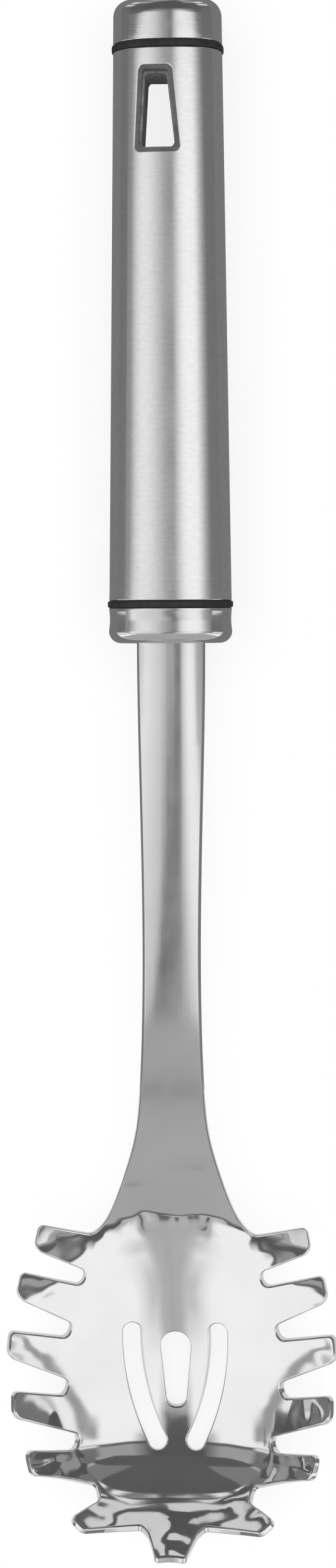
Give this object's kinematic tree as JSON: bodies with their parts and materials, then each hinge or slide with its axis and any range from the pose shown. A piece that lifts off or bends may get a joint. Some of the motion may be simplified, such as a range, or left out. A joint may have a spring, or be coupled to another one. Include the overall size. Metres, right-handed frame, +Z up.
{
  "type": "pasta server",
  "caption": "Steel pasta server: shallow toothed bowl with a drain hole and slots, slim pressed stem, and an oval tube handle with soft rings and a hang hole.",
  "frame": {"origin": "centre of the bounding box in plan, on the table that the server rests on", "axes": "+Y along the handle towards the end cap, +Z up out of the bowl's hollow, +X to the right"},
  "size_m": [0.0726, 0.3334, 0.026],
  "materials": {
    "steel_polished": "mirror polished",
    "steel_satin": "satin",
    "steel_brushed": "fine cross grain",
    "ring_rubber": "matte",
    "plug_plastic": "moulded",
    "pin_steel": "drawn wire",
    "core_grey": "granular",
    "frame_dark": "moulded"
  },
  "bodies": {
    "root": {"server_head": "steel_polished", "ferrule": "steel_satin", "lower_ring": "ring_rubber", "upper_ring": "ring_rubber", "handle_tube": "steel_brushed", "end_cap": "steel_satin", "neck_plug_front": "plug_plastic", "neck_plug_rear": "plug_plastic", "tang_pins": "pin_steel", "hang_plug": "core_grey", "hang_frame_front": "frame_dark", "hang_frame_rear": "frame_dark"}
  },
  "joints": []
}
